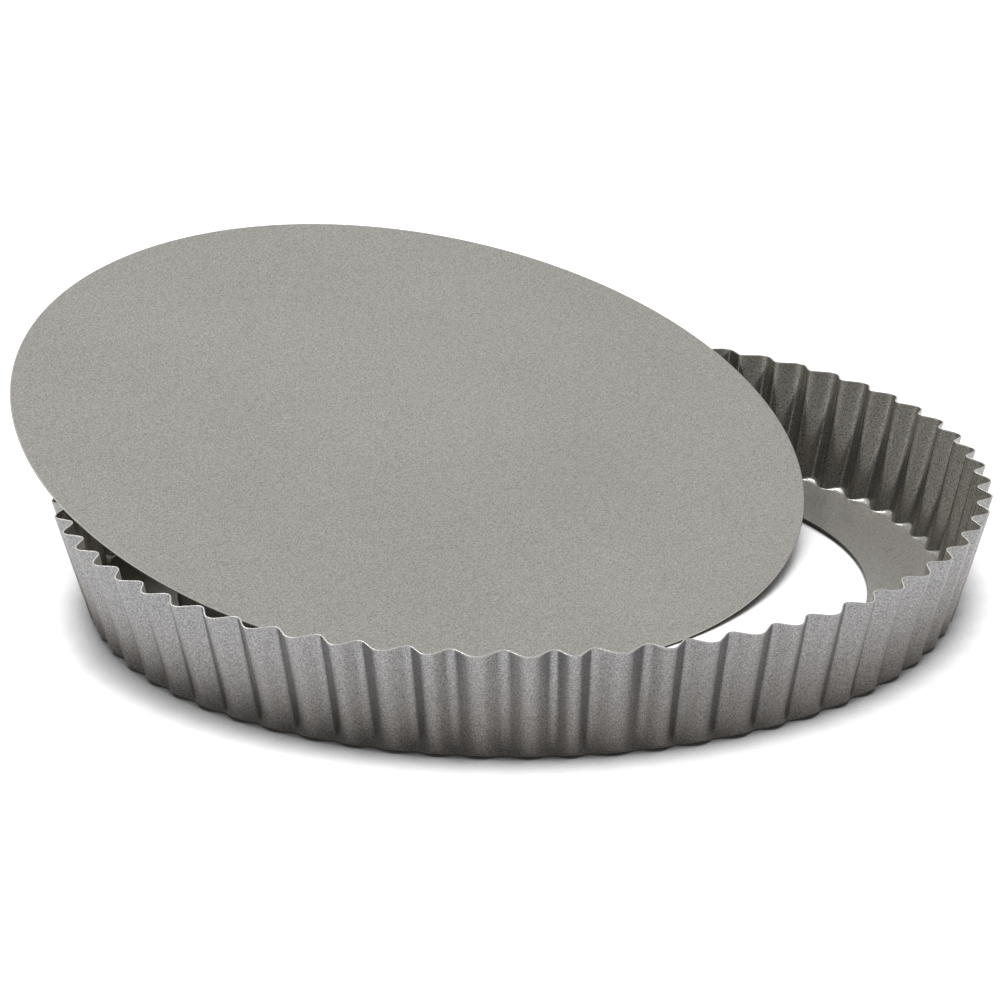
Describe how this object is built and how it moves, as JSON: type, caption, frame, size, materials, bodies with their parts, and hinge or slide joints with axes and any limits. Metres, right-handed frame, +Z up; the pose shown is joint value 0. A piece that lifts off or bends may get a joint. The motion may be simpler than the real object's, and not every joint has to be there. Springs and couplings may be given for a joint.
{
  "type": "loose-bottom tart pan",
  "caption": "Round tart pan: a fluted, flared ring with a flat inner ledge round a wide hole, and a plain loose base that leans on the rim and lifts out.",
  "frame": {"origin": "the ring's axis at the table that its foot stands on", "axes": "+Z up along the ring's axis; the base's low edge lies towards -Y and its raised side overhangs the rim at +Y; +X to the right"},
  "size_m": [0.28, 0.3129, 0.0695],
  "materials": {
    "ring_coating": "satin grey non-stick coating with a fine metallic speckle",
    "base_coating": "satin warm grey non-stick coating with a fine metallic speckle"
  },
  "bodies": {
    "ring": {"fluted_ring": "ring_coating"},
    "base": {"loose_base": "base_coating"}
  },
  "joints": [
    {"name": "base_lift", "type": "slide", "parent": "ring", "child": "base", "axis": [0, 0, 1], "range_m": [0, 0.06]}
  ]
}
